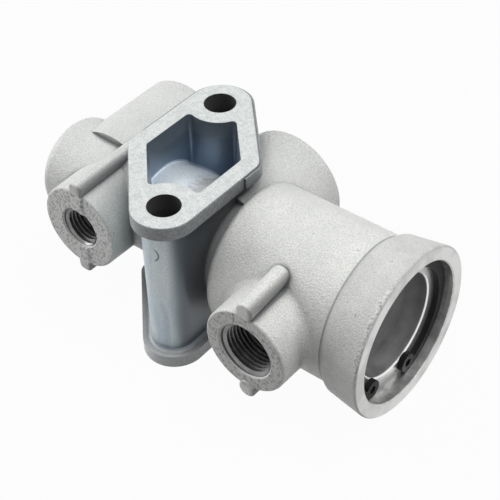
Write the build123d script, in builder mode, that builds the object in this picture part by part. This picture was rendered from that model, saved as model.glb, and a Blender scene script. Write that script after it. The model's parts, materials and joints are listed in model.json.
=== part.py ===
from build123d import *
import os
from math import cos, radians, sin, tan

# Two-line tractor protection valve, in millimetres. The origin is the middle of the two-bolt
# pattern on the lower flange face. +X runs along the bore to its open mouth, +Z is up, and the
# supply ports face -Y while the service ports face +Y. The plunger is drawn at rest, held
# against the end cap by its return spring.

# Mounting block: a diamond column between two diamond flanges
body_height = 55.0
bolt_pitch = 50.0
bolt_hole_radius = 5.0
flange_end_radius = 9.8
flange_taper = 21.5
flange_corner_radius = 5.0
flange_thickness = 4.5
flange_edge_radius = 0.6
flange_root_radius = 1.2
parting_step = 0.65
parting_step_drop = 0.7
column_inset = 2.7
column_corner_radius = 3.0
pocket_rim = 5.45
pocket_corner_radius = 1.4
pocket_boss_wall = 5.0
pocket_draft = 2.5
web_half_thickness = 6.0

# Turned outline of the casting, along X
mouth_x = 77.0
mouth_round = 0.8
collar_length = 14.3
collar_ramp_length = 2.0
collar_step = 1.7
collar_flare = 1.8
collar_round = 1.5
collar_root_round = 0.4
barrel_radius = 23.1
barrel_start_x = 21.0
barrel_end_round = 3.5
neck_step = 5.9
neck_root_round = 1.5
tube_wall = 3.5
tube_waist_x = -14.0
tube_flare = 1.0
tube_end_x = -51.6
tube_end_round = 3.4

# Bores, from the mouth inwards
mouth_chamfer = 0.4
cap_bore_wall = 1.1
piston_bore_wall = 4.1
barrel_floor = 4.0
stem_bore_radius = 11.5
tube_end_wall = 7.6
bore_lead_chamfer = 0.5
gallery_depth = 1.6
gallery_x = -9.25
gallery_length = 11.5

# Ports: position along X, distance of the face from the bore axis, boss and thread. The supply
# outlet is placed from the mouth.
supply_in_x = -27.6
supply_in_face = 23.2
supply_in_boss_radius = 14.1
supply_in_thread_radius = 6.5
supply_in_passage_radius = 3.0
supply_out_setback = 32.3
supply_out_face = 33.2
supply_out_boss_radius = 13.7
supply_out_thread_radius = 8.6
supply_out_passage_radius = 4.0
service_in_x = -34.2
service_in_face = 35.2
service_in_boss_radius = 17.7
service_out_x = 10.6
service_out_face = 34.1
service_out_boss_radius = 18.2
service_out_draft_gain = 1.6
service_out_overlap = 0.7
service_thread_radius = 8.6
service_passage_radius = 4.2
cross_passage_radius = 3.0
cross_passage_start_offset = 5.0
drill_overrun = 1.0
supply_in_thread_length = 10.0
supply_out_thread_length = 11.7
service_thread_length = 13.0
port_chamfer = 0.7
boss_draft_gain = 0.4
boss_edge_round = 0.8
service_edge_round = 1.2
boss_root_round = 2.5

# Casting ribs above and below each supply port: round bars at one, a flat web at the other. The
# bars widen to the rear, and the upper one also leans up and inwards.
bar_offset = 0.6
bar_proud = 0.4
bar_front_radius = 2.8
bar_rear_radius = 3.0
bar_rise = 15.3
bar_drop = 14.3
bar_end_y = -15.0
bar_lean_in = 0.9
bar_lean_up = 0.9
bar_front_round = 0.5
bar_nose_round = 1.6
web_offset = 0.65
web_width = 4.9
web_top = 17.5
web_bottom = 16.65
web_end_y = 4.0
web_proud = 0.5
web_round = 1.8
web_front_round = 0.8

# Vent of the spring chamber, in the underside of the barrel
vent_offset = 1.3
vent_hole_radius = 1.2
vent_seat_radius = 2.4
vent_seat_depth = 2.0
vent_filter_thickness = 1.7
vent_filter_round = 0.3

# Retaining ring for a 44 mm bore
ring_setback = 3.15
ring_thickness = 1.75
ring_groove_width = 1.85
ring_groove_depth = 1.25
ring_outer_clearance = 0.15
ring_min_width = 3.0
ring_max_width = 4.4
ring_gap_angle = -103.0
ring_lug_spread = 29.0
ring_lug_radius = 3.0
ring_lug_inset = 3.0
ring_lug_hole_radius = 1.3

# End cap
cap_length = 8.5
dish_radius = 16.3
dish_depth = 5.0
dish_edge_chamfer = 0.3
dish_wall_slope = 1.2
dish_floor_round = 4.0
cap_clearance = 0.05
cap_groove_offset = 3.6

# Plunger: hollow stem, piston cup, washer and nut
stroke = 6.0
stop_gap = 0.1
stem_nose_length = 3.9
stroke_reserve = 0.3
stem_waist_radius = 8.0
drilling_radius = 3.6
supply_land_offset = 2.2
valve_land_offset = 2.0
vent_land_offset = 2.5
land_length = 4.8
land_clearance = 0.08
spring_journal_radius = 8.5
thread_radius = 6.0
stem_tip_radius = 5.2
stem_tip_length = 4.4
cross_hole_radius = 1.6
cross_hole_setback = 2.7
head_length = 7.9
head_clearance = 0.08
cup_outer_radius = 15.2
cup_inner_radius = 13.0
cup_depth = 16.5
cup_floor_thickness = 3.0
cup_edge_round = 1.2
washer_radius = 10.0
washer_thickness = 1.0
nut_across_flats = 19.0
nut_height = 4.5

# Seals: section, groove width and groove depth of the stem, piston and cap seals
stem_seal_section = 2.4
stem_groove_width = 3.0
stem_groove_depth = 1.9
piston_seal_section = 2.4
piston_groove_width = 3.0
piston_groove_depth = 2.0
piston_seal_offset = 5.6
guide_ring_offset = 2.4
guide_ring_width = 2.4
guide_ring_thickness = 1.3
cap_seal_section = 2.6
cap_groove_width = 3.4
cap_groove_depth = 2.1
seal_gap = 0.04
seal_round = 0.8

# Return spring and its seat
spring_wire_radius = 1.2
spring_mean_radius = 11.1
spring_turns = 5.0
seat_journal_clearance = 0.5
seat_thickness = 1.2
seat_outer_radius = 14.5

running_clearance = 0.05
fit_clearance = 0.05

# Tolerance for finding a face or an edge by its place
place_tolerance = 0.01

# Values that follow from the sizes above
bore_z = body_height / 2
bolt_angle = flange_taper - 90
pocket_end_radius = flange_end_radius - pocket_rim
pocket_depth = body_height / 2 - web_half_thickness
neck_radius = barrel_radius - neck_step
collar_root_radius = barrel_radius + collar_step
collar_mouth_radius = collar_root_radius + collar_flare
cap_bore_radius = barrel_radius - cap_bore_wall
piston_bore_radius = barrel_radius - piston_bore_wall
tube_waist_radius = stem_bore_radius + tube_wall
tube_end_radius = tube_waist_radius + tube_flare
gallery_radius = stem_bore_radius + gallery_depth
piston_bore_start_x = barrel_start_x + barrel_floor
stem_bore_end_x = tube_end_x + tube_end_wall
collar_x = mouth_x - collar_length
collar_top_x = collar_x + collar_ramp_length
supply_out_x = mouth_x - supply_out_setback
groove_x = mouth_x - ring_setback - ring_groove_width
groove_middle_x = groove_x + ring_groove_width / 2
cap_front_x = groove_x
cap_seat_x = cap_front_x - cap_length
cap_radius = cap_bore_radius - cap_clearance
cap_groove_x = cap_seat_x + cap_groove_offset
cap_groove_radius = cap_radius - cap_groove_depth
ring_groove_radius = cap_bore_radius + ring_groove_depth
ring_outer_radius = ring_groove_radius - ring_outer_clearance
ring_inner_radius = ring_outer_radius - (ring_min_width + ring_max_width) / 2
ring_eccentricity = (ring_max_width - ring_min_width) / 2
ring_lug_centre_radius = cap_bore_radius - ring_lug_inset
stem_tip_x = cap_seat_x - stop_gap
thread_end_x = stem_tip_x - stem_tip_length
cross_hole_x = stem_tip_x - cross_hole_setback
stem_land_radius = stem_bore_radius - land_clearance
stem_groove_radius = stem_land_radius - stem_groove_depth
head_radius = piston_bore_radius - head_clearance
piston_groove_radius = head_radius - piston_groove_depth
guide_floor_radius = head_radius - guide_ring_thickness
guide_groove_width = guide_ring_width + 2 * fit_clearance
supply_land_x = gallery_x - gallery_length / 2 - supply_land_offset
valve_land_x = gallery_x + gallery_length / 2 + valve_land_offset
vent_land_x = piston_bore_start_x - vent_land_offset
stem_nose_x = supply_land_x - land_length / 2 - stem_nose_length
seat_front_x = piston_bore_start_x + seat_thickness
head_start_x = seat_front_x + stroke + stroke_reserve
head_end_x = head_start_x + head_length
guide_ring_x = head_start_x + guide_ring_offset
piston_seal_x = head_start_x + piston_seal_offset
cup_floor_x = head_start_x + cup_depth
cup_end_x = cup_floor_x + cup_floor_thickness
washer_end_x = cup_end_x + washer_thickness
spring_end_inset = spring_wire_radius + seal_gap
spring_height = cup_floor_x - seat_front_x - 2 * spring_end_inset

bore_axis = Axis((0, 0, bore_z), (1, 0, 0))
bore_plane = Plane(origin=(0, 0, bore_z), x_dir=(1, 0, 0), z_dir=(0, -1, 0))
bolt_x = bolt_pitch / 2 * cos(radians(bolt_angle))
bolt_y = bolt_pitch / 2 * sin(radians(bolt_angle))
bolt_places = [(bolt_x, bolt_y), (-bolt_x, -bolt_y)]

service_in_floor_y = service_in_face - service_thread_length
cross_passage_start = Vector(service_in_x + cross_passage_start_offset,
                             service_in_floor_y + drill_overrun, bore_z)
cross_passage_run = Vector(gallery_x, stem_bore_radius - drill_overrun, bore_z) - cross_passage_start
cross_passage_plane = Plane(origin=cross_passage_start, z_dir=cross_passage_run)
cross_passage_length = cross_passage_run.length
vent_plane = Plane(origin=(piston_bore_start_x + vent_offset, 0, bore_z - barrel_radius), z_dir=(0, 0, -1))


def front_plane(x, distance):
    """Plane of a port face that looks to -Y, with its origin on the port axis."""
    return Plane(origin=(x, -distance, bore_z), x_dir=(1, 0, 0), z_dir=(0, -1, 0))


def rear_plane(x, distance):
    """Plane of a port face that looks to +Y, with its origin on the port axis."""
    return Plane(origin=(x, distance, bore_z), x_dir=(-1, 0, 0), z_dir=(0, 1, 0))


def port_axis(x):
    """Axis of the port at x, along Y through the bore axis."""
    return Axis((x, 0, bore_z), (0, 1, 0))


def cross_plane(x):
    """Plane square to the bore at x, looking to the mouth, with local X along +Y."""
    return Plane(origin=(x, 0, bore_z), x_dir=(0, 1, 0), z_dir=(1, 0, 0))


def diamond(end_radius, corner_radius):
    """Diamond outline with a round of end_radius about each bolt hole."""
    half_across = end_radius / cos(radians(flange_taper)) + bolt_pitch / 2 * tan(radians(flange_taper))
    half_along = half_across / tan(radians(flange_taper))
    with BuildSketch() as outline:
        with BuildLine():
            Polyline((half_along, 0), (0, half_across), (-half_along, 0), (0, -half_across), close=True)
        make_face()
        tips = outline.vertices().sort_by(Axis.X)
        fillet([tips[0], tips[-1]], radius=end_radius)
        corners = outline.vertices().sort_by(Axis.Y)
        fillet([corners[0], corners[-1]], radius=corner_radius)
    return outline.sketch.rotate(Axis.Z, bolt_angle)


def on_bolt_boss(corner, boss_radius):
    """Whether a corner of the pocket lies on the round boss about either bolt hole."""
    distances = [abs((Vector(*corner) - Vector(x, y)).length - boss_radius) for x, y in bolt_places]
    return min(distances) < 0.001


def pocket_outline():
    """Outline of the lightening pocket: the diamond inside the rim, less a boss about each bolt."""
    boss_radius = bolt_hole_radius + pocket_boss_wall
    with BuildSketch() as outline:
        add(diamond(pocket_end_radius, pocket_corner_radius))
        with Locations(*bolt_places):
            Circle(boss_radius, mode=Mode.SUBTRACT)
        meets = outline.vertices().filter_by(lambda corner: on_bolt_boss(corner, boss_radius))
        fillet(meets, radius=pocket_corner_radius)
    return outline.sketch


def rear_half(outline):
    """Part of an outline behind the bore axis, grown by the step at the parting line."""
    with BuildSketch() as half:
        add(outline)
        offset(amount=parting_step)
        with Locations((0, bolt_pitch)):
            Rectangle(2 * bolt_pitch, 2 * bolt_pitch, mode=Mode.INTERSECT)
    return half.sketch


def boss_section(root_radius, face_radius, length, edge_round):
    """Half section of a port boss, with local X out from the port axis and local Y along it."""
    with BuildSketch() as section:
        with BuildLine():
            Polyline((0, 0), (root_radius, 0), (face_radius, length), (0, length), close=True)
        make_face()
        face_corner = section.vertices().sort_by_distance((face_radius, length))[0]
        fillet(face_corner, radius=edge_round)
    return section.sketch


def sealed_land(x, next_radius):
    """Outline points of a stem land centred at x, with its seal groove, down to next_radius."""
    return [(x - land_length / 2, stem_waist_radius), (x - land_length / 2, stem_land_radius),
            (x - stem_groove_width / 2, stem_land_radius), (x - stem_groove_width / 2, stem_groove_radius),
            (x + stem_groove_width / 2, stem_groove_radius), (x + stem_groove_width / 2, stem_land_radius),
            (x + land_length / 2, stem_land_radius), (x + land_length / 2, next_radius)]


def groove_points(x, width, outer_radius, floor_radius):
    """Outline points of a square groove centred at x in a face of outer_radius."""
    return [(x - width / 2, outer_radius), (x - width / 2, floor_radius),
            (x + width / 2, floor_radius), (x + width / 2, outer_radius)]


def seal_section(x, inner_radius, outer_radius, width):
    """Squeezed section of a round seal at x, between its groove floor and the bore."""
    with BuildSketch() as section:
        with Locations((x, (inner_radius + outer_radius) / 2)):
            RectangleRounded(width, outer_radius - inner_radius - 2 * seal_gap, seal_round)
    return section.sketch


flange_outline = diamond(flange_end_radius, flange_corner_radius)
column_outline = diamond(flange_end_radius - column_inset, column_corner_radius)
pocket = pocket_outline()
parting_outline = rear_half(flange_outline)

# Die-cast body
with BuildPart() as body:
    with BuildSketch(Plane.XY):
        add(column_outline)
    extrude(amount=body_height)
    for flange_z in (0, body_height - flange_thickness):
        with BuildSketch(Plane.XY.offset(flange_z)):
            add(flange_outline)
        extrude(amount=flange_thickness)
    for shelf_z in (flange_thickness, body_height - flange_thickness):
        shelf = body.faces().filter_by(Axis.Z).filter_by_position(
            Axis.Z, shelf_z - place_tolerance, shelf_z + place_tolerance)[0]
        fillet(shelf.inner_wires()[0].edges(), radius=flange_root_radius)
    for rim in (body.faces().sort_by(Axis.Z)[0], body.faces().sort_by(Axis.Z)[-1]):
        fillet(rim.outer_wire().edges(), radius=flange_edge_radius)

    # The rear half of each flange stands proud of the front half at the die's parting line
    for proud_z in (parting_step_drop, body_height - flange_thickness):
        with BuildSketch(Plane.XY.offset(proud_z)):
            add(parting_outline)
        extrude(amount=flange_thickness - parting_step_drop)

    # Service port bosses, from the bore axis to the rear; the outlet's starts just in front of it
    for port_x, start_y, root_radius, face_radius, face_y in (
        (service_in_x, 0, service_in_boss_radius, service_in_boss_radius, service_in_face),
        (service_out_x, -service_out_overlap, service_out_boss_radius + service_out_draft_gain,
         service_out_boss_radius, service_out_face),
    ):
        with BuildSketch(Plane(origin=(port_x, start_y, bore_z), x_dir=(1, 0, 0), z_dir=(0, 0, 1))):
            add(boss_section(root_radius, face_radius, face_y - start_y, service_edge_round))
        revolve(axis=port_axis(port_x))

    # Pockets from both flange faces, down to the web beside the tube
    with BuildSketch(Plane.XY.offset(body_height)):
        add(pocket)
    extrude(amount=-pocket_depth, taper=pocket_draft, mode=Mode.SUBTRACT)
    with BuildSketch(Plane.XY):
        add(pocket)
    extrude(amount=pocket_depth, taper=pocket_draft, mode=Mode.SUBTRACT)

    # Tube, barrel and collar in one turned outline
    with BuildSketch(bore_plane) as turned:
        with BuildLine():
            Polyline((tube_end_x, 0), (tube_end_x, tube_end_radius), (tube_waist_x, tube_waist_radius),
                     (barrel_start_x, neck_radius), (barrel_start_x, barrel_radius),
                     (collar_x, barrel_radius), (collar_top_x, collar_root_radius),
                     (mouth_x, collar_mouth_radius), (mouth_x, 0), close=True)
        make_face()
        for x, radius, round_radius in (
            (tube_end_x, tube_end_radius, tube_end_round),
            (barrel_start_x, neck_radius, neck_root_round),
            (barrel_start_x, barrel_radius, barrel_end_round),
            (collar_x, barrel_radius, collar_root_round),
            (collar_top_x, collar_root_radius, collar_round),
            (mouth_x, collar_mouth_radius, mouth_round),
        ):
            corner = turned.vertices().sort_by_distance((x, radius))[0]
            fillet(corner, radius=round_radius)
    revolve(axis=bore_axis)

    # Supply port bosses, from the bore axis to the front; the larger one has a rounded root
    with BuildSketch(Plane(origin=(supply_in_x, 0, bore_z), x_dir=(1, 0, 0), z_dir=(0, 0, -1))):
        add(boss_section(supply_in_boss_radius + boss_draft_gain, supply_in_boss_radius, supply_in_face,
                         boss_edge_round))
    revolve(axis=port_axis(supply_in_x))
    with BuildSketch(Plane(origin=(supply_out_x, 0, bore_z), x_dir=(1, 0, 0), z_dir=(0, 0, -1))):
        add(boss_section(supply_out_boss_radius + boss_draft_gain, supply_out_boss_radius, supply_out_face,
                         boss_edge_round))
    revolve(axis=port_axis(supply_out_x))
    fillet(body.edges(Select.NEW).filter_by(GeomType.BSPLINE), radius=boss_root_round)

    # Ribs: a round bar above and below the larger supply port, a flat web across the smaller one
    bar_x = supply_out_x + bar_offset
    for rise, end_x, end_rise in (
        (bar_rise, bar_x - bar_lean_in, bar_rise + bar_lean_up),
        (-bar_drop, bar_x, -bar_drop),
    ):
        with BuildSketch(front_plane(bar_x, supply_out_face + bar_proud)):
            with Locations((0, rise)):
                Circle(bar_front_radius)
        with BuildSketch(front_plane(end_x, -bar_end_y)):
            with Locations((0, end_rise)):
                Circle(bar_rear_radius)
        bar = loft(ruled=True, mode=Mode.PRIVATE)
        front_edge, nose_edge = bar.edges().filter_by(GeomType.CIRCLE).sort_by(Axis.Y)
        add(bar.solid().fillet(bar_nose_round, [nose_edge]).fillet(bar_front_round, [front_edge]))
    with BuildSketch(front_plane(supply_in_x + web_offset, supply_in_face + web_proud)):
        with Locations((0, (web_top - web_bottom) / 2)):
            RectangleRounded(web_width, web_top + web_bottom, web_round)
    web = extrude(amount=-(supply_in_face + web_proud + web_end_y), mode=Mode.PRIVATE)
    add(web.fillet(web_front_round, web.faces().sort_by(Axis.Y)[0].edges()))

    # Stepped bore: mouth, ring groove, cap seat, piston bore, stem bore and gallery
    with BuildSketch(bore_plane):
        with BuildLine():
            Polyline((stem_bore_end_x, 0), (stem_bore_end_x, stem_bore_radius),
                     *groove_points(gallery_x, gallery_length, stem_bore_radius, gallery_radius),
                     (piston_bore_start_x - bore_lead_chamfer, stem_bore_radius),
                     (piston_bore_start_x, stem_bore_radius + bore_lead_chamfer),
                     (piston_bore_start_x, piston_bore_radius), (cap_seat_x, piston_bore_radius),
                     (cap_seat_x, cap_bore_radius),
                     *groove_points(groove_middle_x, ring_groove_width, cap_bore_radius, ring_groove_radius),
                     (mouth_x - mouth_chamfer, cap_bore_radius),
                     (mouth_x, cap_bore_radius + mouth_chamfer), (mouth_x, 0), close=True)
        make_face()
    revolve(axis=bore_axis, mode=Mode.SUBTRACT)

    # Threaded ports, with the passages that lead into the bore
    with Locations(front_plane(supply_out_x, supply_out_face)):
        CounterSinkHole(supply_out_thread_radius, supply_out_thread_radius + port_chamfer,
                        depth=supply_out_thread_length, counter_sink_angle=90)
        Hole(supply_out_passage_radius, depth=supply_out_face)
    with Locations(front_plane(supply_in_x, supply_in_face)):
        CounterSinkHole(supply_in_thread_radius, supply_in_thread_radius + port_chamfer,
                        depth=supply_in_thread_length, counter_sink_angle=90)
        Hole(supply_in_passage_radius, depth=supply_in_face)
    with Locations(rear_plane(service_out_x, service_out_face)):
        CounterSinkHole(service_thread_radius, service_thread_radius + port_chamfer,
                        depth=service_thread_length, counter_sink_angle=90)
        Hole(service_passage_radius, depth=service_out_face)
    with Locations(rear_plane(service_in_x, service_in_face)):
        CounterSinkHole(service_thread_radius, service_thread_radius + port_chamfer,
                        depth=service_thread_length, counter_sink_angle=90)
    with BuildSketch(cross_passage_plane):
        Circle(cross_passage_radius)
    extrude(amount=cross_passage_length, mode=Mode.SUBTRACT)

    # Bolt holes through both flanges, and the vent under the spring chamber
    with Locations(*[Location((x, y, body_height)) for x, y in bolt_places]):
        Hole(bolt_hole_radius, depth=body_height)
    with Locations(vent_plane):
        CounterBoreHole(vent_hole_radius, vent_seat_radius, vent_seat_depth,
                        depth=barrel_radius - piston_bore_radius + drill_overrun)
body.part.label = "body"
export_step(body.part, "parts/body.step")

# End cap: a turned disc with a dished front and one seal groove
with BuildPart() as end_cap:
    with BuildSketch(bore_plane) as cap_outline:
        with BuildLine():
            Polyline((cap_seat_x, 0), (cap_seat_x, cap_radius),
                     *groove_points(cap_groove_x, cap_groove_width, cap_radius, cap_groove_radius),
                     (cap_front_x, cap_radius), (cap_front_x, dish_radius),
                     (cap_front_x - dish_depth, dish_radius - dish_wall_slope), (cap_front_x - dish_depth, 0),
                     close=True)
        make_face()
        floor_corner = cap_outline.vertices().sort_by_distance(
            (cap_front_x - dish_depth, dish_radius - dish_wall_slope))[0]
        fillet(floor_corner, radius=dish_floor_round)
        rim_corner = cap_outline.vertices().sort_by_distance((cap_front_x, dish_radius))[0]
        chamfer(rim_corner, length=dish_edge_chamfer)
    revolve(axis=bore_axis)
end_cap.part.label = "end_cap"
export_step(end_cap.part, "parts/end_cap.step")

with BuildPart() as cap_seal:
    with BuildSketch(bore_plane):
        add(seal_section(cap_groove_x, cap_groove_radius, cap_bore_radius, cap_seal_section))
    revolve(axis=bore_axis)
cap_seal.part.label = "cap_seal"
export_step(cap_seal.part, "parts/cap_seal.step")

# Retaining ring: eccentric inside, widest opposite the gap, with a drilled lug at each end
with BuildPart() as retaining_ring:
    with BuildSketch(cross_plane(groove_x)):
        Circle(ring_outer_radius)
        with Locations(Vector(ring_eccentricity, 0).rotate(Axis.Z, ring_gap_angle)):
            Circle(ring_inner_radius, mode=Mode.SUBTRACT)
        with BuildLine():
            gap_side = Vector(2 * ring_outer_radius, 0)
            Polyline((0, 0), gap_side.rotate(Axis.Z, ring_gap_angle - ring_lug_spread),
                     gap_side.rotate(Axis.Z, ring_gap_angle),
                     gap_side.rotate(Axis.Z, ring_gap_angle + ring_lug_spread), close=True)
        make_face(mode=Mode.SUBTRACT)
        with PolarLocations(ring_lug_centre_radius, 2, start_angle=ring_gap_angle - ring_lug_spread,
                            angular_range=2 * ring_lug_spread, endpoint=True):
            Circle(ring_lug_radius)
            Circle(ring_lug_hole_radius, mode=Mode.SUBTRACT)
    extrude(amount=ring_thickness)
retaining_ring.part.label = "retaining_ring"
export_step(retaining_ring.part, "parts/retaining_ring.step")

# Plunger stem: three sealed lands, the spring journal and the threaded end, drilled through
with BuildPart() as stem:
    with BuildSketch(bore_plane):
        with BuildLine():
            Polyline((stem_nose_x, drilling_radius), (stem_nose_x, stem_waist_radius),
                     *sealed_land(supply_land_x, stem_waist_radius),
                     *sealed_land(valve_land_x, stem_waist_radius),
                     *sealed_land(vent_land_x, spring_journal_radius), (cup_floor_x, spring_journal_radius),
                     (cup_floor_x, thread_radius), (thread_end_x, thread_radius),
                     (thread_end_x, stem_tip_radius), (stem_tip_x, stem_tip_radius),
                     (stem_tip_x, drilling_radius), close=True)
        make_face()
    revolve(axis=bore_axis)
    with BuildSketch(Plane(origin=(cross_hole_x, 0, bore_z), z_dir=(0, 0, 1))):
        Circle(cross_hole_radius)
    extrude(amount=stem_tip_radius, both=True, mode=Mode.SUBTRACT)
    with BuildSketch(front_plane(cross_hole_x, 0)):
        Circle(cross_hole_radius)
    extrude(amount=stem_tip_radius, both=True, mode=Mode.SUBTRACT)
stem.part.label = "stem"
export_step(stem.part, "parts/stem.step")

# The three seals of the stem, one in each land
seal_places = (("supply_seal", supply_land_x), ("valve_seal", valve_land_x), ("vent_seal", vent_land_x))
for seal_name, seal_x in seal_places:
    with BuildPart() as stem_seal:
        with BuildSketch(bore_plane):
            add(seal_section(seal_x, stem_groove_radius, stem_bore_radius, stem_seal_section))
        revolve(axis=bore_axis)
    stem_seal.part.label = seal_name
    export_step(stem_seal.part, f"parts/{seal_name}.step")

# Piston: a head that runs in the barrel and a deep cup that holds the spring
with BuildPart() as piston:
    with BuildSketch(bore_plane):
        with BuildLine():
            Polyline((head_start_x, cup_inner_radius), (head_start_x, head_radius),
                     *groove_points(guide_ring_x, guide_groove_width, head_radius, guide_floor_radius),
                     *groove_points(piston_seal_x, piston_groove_width, head_radius, piston_groove_radius),
                     (head_end_x, head_radius), (head_end_x, cup_outer_radius), (cup_end_x, cup_outer_radius),
                     (cup_end_x, thread_radius + fit_clearance), (cup_floor_x, thread_radius + fit_clearance),
                     (cup_floor_x, cup_inner_radius), close=True)
        make_face()
    revolve(axis=bore_axis)
    cup_edge = piston.edges().filter_by(GeomType.CIRCLE).filter_by_position(
        Axis.X, cup_end_x - place_tolerance, cup_end_x + place_tolerance)
    fillet(cup_edge.sort_by(SortBy.RADIUS)[-1], radius=cup_edge_round)
piston.part.label = "piston"
export_step(piston.part, "parts/piston.step")

with BuildPart() as piston_seal:
    with BuildSketch(bore_plane):
        add(seal_section(piston_seal_x, piston_groove_radius, piston_bore_radius, piston_seal_section))
    revolve(axis=bore_axis)
piston_seal.part.label = "piston_seal"
export_step(piston_seal.part, "parts/piston_seal.step")

with BuildPart() as guide_ring:
    with BuildSketch(bore_plane):
        with Locations((guide_ring_x, (guide_floor_radius + piston_bore_radius) / 2)):
            Rectangle(guide_ring_width, piston_bore_radius - guide_floor_radius - 2 * running_clearance)
    revolve(axis=bore_axis)
guide_ring.part.label = "guide_ring"
export_step(guide_ring.part, "parts/guide_ring.step")

# Washer and hexagon nut that clamp the piston on the stem
with BuildPart() as washer:
    with BuildSketch(cross_plane(cup_end_x)):
        Circle(washer_radius)
        Circle(thread_radius + fit_clearance, mode=Mode.SUBTRACT)
    extrude(amount=washer_thickness)
washer.part.label = "washer"
export_step(washer.part, "parts/washer.step")

with BuildPart() as stem_nut:
    with BuildSketch(cross_plane(washer_end_x)):
        RegularPolygon(nut_across_flats / 2, 6, major_radius=False)
        Circle(thread_radius + fit_clearance, mode=Mode.SUBTRACT)
    extrude(amount=nut_height)
stem_nut.part.label = "stem_nut"
export_step(stem_nut.part, "parts/stem_nut.step")

# Spring seat washer on the floor of the piston bore
with BuildPart() as spring_seat:
    with BuildSketch(cross_plane(piston_bore_start_x)):
        Circle(seat_outer_radius)
        Circle(spring_journal_radius + seat_journal_clearance, mode=Mode.SUBTRACT)
    extrude(amount=seat_thickness)
spring_seat.part.label = "spring_seat"
export_step(spring_seat.part, "parts/spring_seat.step")

# Return spring between its seat and the floor of the cup
with BuildPart() as return_spring:
    with BuildLine():
        coil = Helix(spring_height / spring_turns, spring_height, spring_mean_radius,
                     center=(seat_front_x + spring_end_inset, 0, bore_z), direction=(1, 0, 0))
    with BuildSketch(Plane(origin=coil @ 0, z_dir=coil % 0)):
        Circle(spring_wire_radius)
    sweep(is_frenet=True)
return_spring.part.label = "return_spring"
export_step(return_spring.part, "parts/return_spring.step")

# Sintered filter pressed in the vent seat
with BuildPart() as vent_filter:
    with BuildSketch(vent_plane.offset(-vent_seat_depth)):
        Circle(vent_seat_radius - fit_clearance)
    extrude(amount=vent_filter_thickness)
    fillet(vent_filter.faces().sort_by(Axis.Z)[0].edges(), radius=vent_filter_round)
vent_filter.part.label = "vent_filter"
export_step(vent_filter.part, "parts/vent_filter.step")
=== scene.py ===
import json
import logging
import math
from dataclasses import dataclass
from enum import Enum
from functools import reduce

import bmesh
import bpy
from mathutils import Matrix, Quaternion, Vector


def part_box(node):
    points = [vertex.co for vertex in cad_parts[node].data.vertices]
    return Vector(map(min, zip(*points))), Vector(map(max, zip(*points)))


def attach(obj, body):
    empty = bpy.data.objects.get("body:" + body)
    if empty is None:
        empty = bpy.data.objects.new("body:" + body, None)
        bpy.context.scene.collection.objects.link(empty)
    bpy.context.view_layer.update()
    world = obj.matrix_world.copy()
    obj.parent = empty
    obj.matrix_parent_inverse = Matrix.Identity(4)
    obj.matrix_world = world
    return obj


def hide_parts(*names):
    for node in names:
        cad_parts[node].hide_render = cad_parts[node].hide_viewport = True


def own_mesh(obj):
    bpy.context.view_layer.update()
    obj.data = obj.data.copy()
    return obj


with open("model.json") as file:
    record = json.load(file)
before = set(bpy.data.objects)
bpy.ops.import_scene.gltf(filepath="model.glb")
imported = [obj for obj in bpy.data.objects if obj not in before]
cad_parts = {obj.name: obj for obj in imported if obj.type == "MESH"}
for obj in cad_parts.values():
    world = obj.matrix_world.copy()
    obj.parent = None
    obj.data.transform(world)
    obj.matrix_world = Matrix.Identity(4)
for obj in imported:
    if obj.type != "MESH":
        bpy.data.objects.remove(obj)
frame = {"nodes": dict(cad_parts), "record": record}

LOG = logging.getLogger("valve")
MM = 0.001
INCH = 25.4 * MM
FULL_TURN = 2 * math.pi
SHARP = 0.1 * MM
BODY = "valve_body"
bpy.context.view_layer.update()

Colour = tuple[float, float, float]
Place = tuple[float, float, float]
Socket = bpy.types.NodeSocket


def find_mount(name: str) -> dict:
    """Looks a mount up in the record.

    Args:
        name: Name of the mount.

    Returns:
        The mount.
    """
    return next(mount for mount in frame["record"]["mounts"] if mount["name"] == name)


class PipeSize(Enum):
    """The taper pipe threads of the ports."""

    QUARTER_INCH = (18, 0.95 * MM, 7.5 * MM)
    THREE_EIGHTHS = (18, 1.05 * MM, 9.5 * MM)

    def __init__(self, turns: int, depth: float, widest: float) -> None:
        """Sets the thread's pitch, depth and limit, in metres.

        Args:
            turns: Turns in an inch.
            depth: Height of a turn above the tapped wall.
            widest: Radius that a tapped wall of this size stays under.
        """
        self.pitch = INCH / turns
        self.depth = depth
        self.widest = widest


class Port(Enum):
    """The four ports."""

    SUPPLY_IN = ("supply_in_port", 14.1 * MM, 1.0)
    SUPPLY_OUT = ("supply_out_port", 13.7 * MM, 0.35)
    SERVICE_IN = ("service_in_port", 17.7 * MM, 0.4)
    SERVICE_OUT = ("service_out_port", 18.2 * MM, 0.4)

    def __init__(self, mount: str, boss_radius: float, paleness: float) -> None:
        """Finds the port's mount, the radius and length of its tapped wall, and its thread.

        Args:
            mount: Name of the mount.
            boss_radius: Radius of the boss at its face, in metres.
            paleness: 0 for the darkest cast face, 1 for the palest.
        """
        self.mount = find_mount(mount)
        self.radius = self.mount["dims"]["r_mm"] * MM
        self.length = self.mount["dims"]["length_mm"] * MM
        self.thread = next(size for size in PipeSize if self.radius < size.widest)
        self.boss_radius = boss_radius
        self.paleness = paleness


@dataclass(frozen=True)
class Grain:
    """A noise: width of its largest blotches, number of finer layers and their strength."""

    size: float
    detail: float = 3.0
    roughness: float = 0.5


@dataclass(frozen=True)
class Ramp:
    """A smooth turn of the result from first to last, while the input goes from low to high."""

    low: float
    high: float
    first: float = 0.0
    last: float = 1.0


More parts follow.
